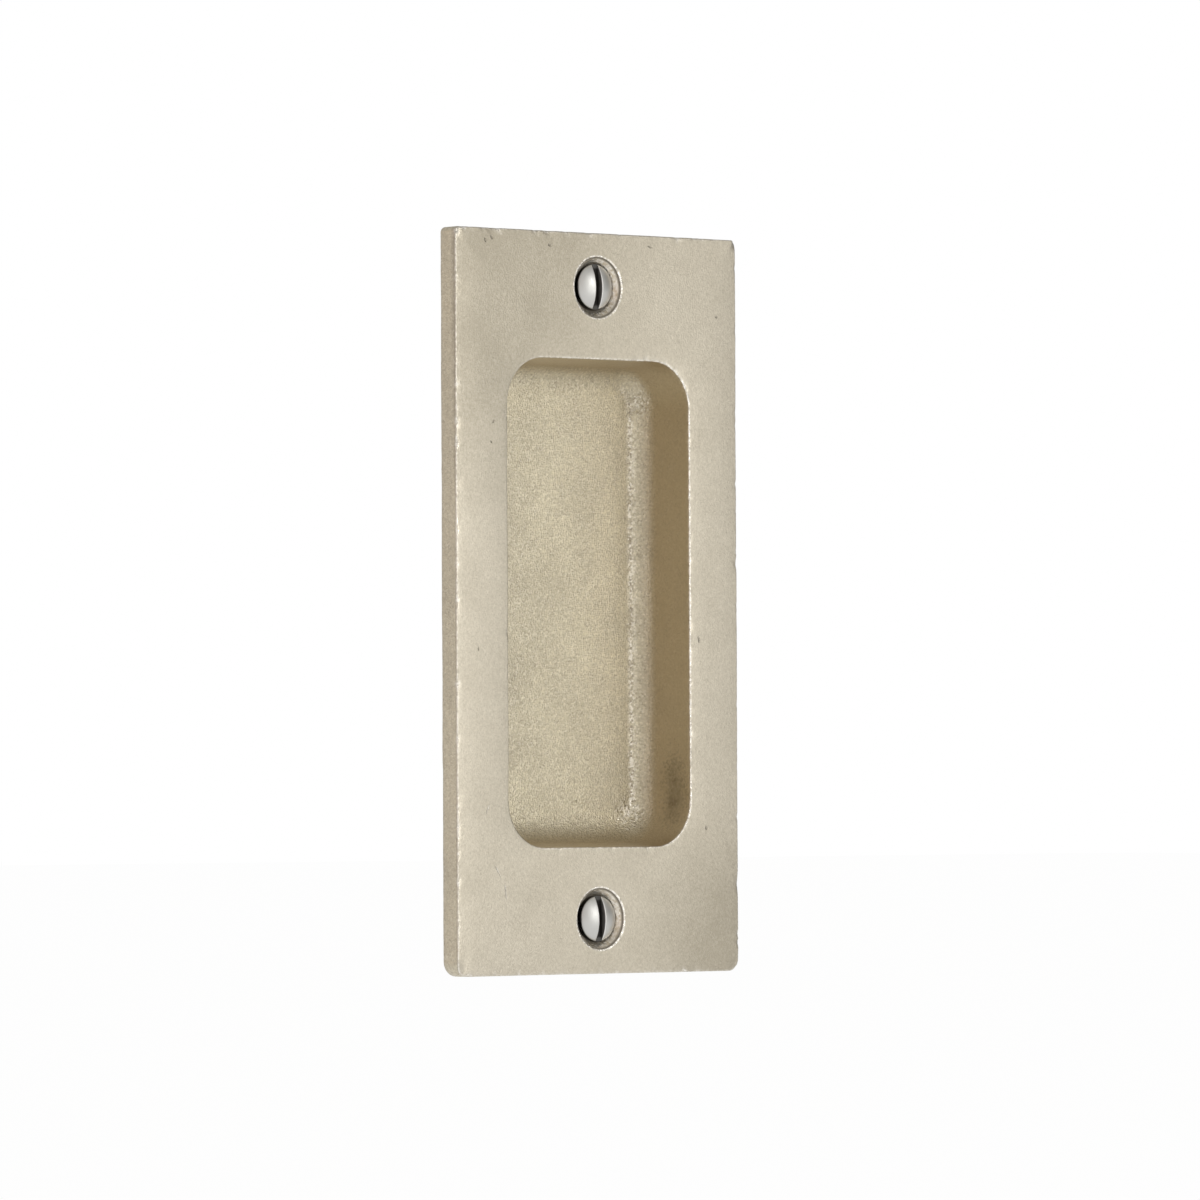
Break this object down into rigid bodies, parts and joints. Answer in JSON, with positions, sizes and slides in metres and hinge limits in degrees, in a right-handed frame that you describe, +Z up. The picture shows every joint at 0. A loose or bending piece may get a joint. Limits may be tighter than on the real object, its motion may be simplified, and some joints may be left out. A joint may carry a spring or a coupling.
{
  "type": "pocket door pull",
  "caption": "Flush rectangular pull for a pocket or sliding door: a flat cast plate with a deep rounded finger cup, held by slotted oval-head wood screws in countersunk holes.",
  "frame": {"origin": "midway between the screws' axes, on the plane of the plate's back, which lies on the door's face", "axes": "+Z up the door along the plate's long side, -Y out of the door towards the hand, +Y into the door along the cup and screws, +X to the right as seen from the front"},
  "size_m": [0.0636, 0.0204, 0.127],
  "materials": {
    "cast_white_bronze": "satin",
    "nickel_plated_steel": "polished"
  },
  "bodies": {
    "root": {"pull_body": "cast_white_bronze", "mounting_screws": "nickel_plated_steel"}
  },
  "joints": []
}
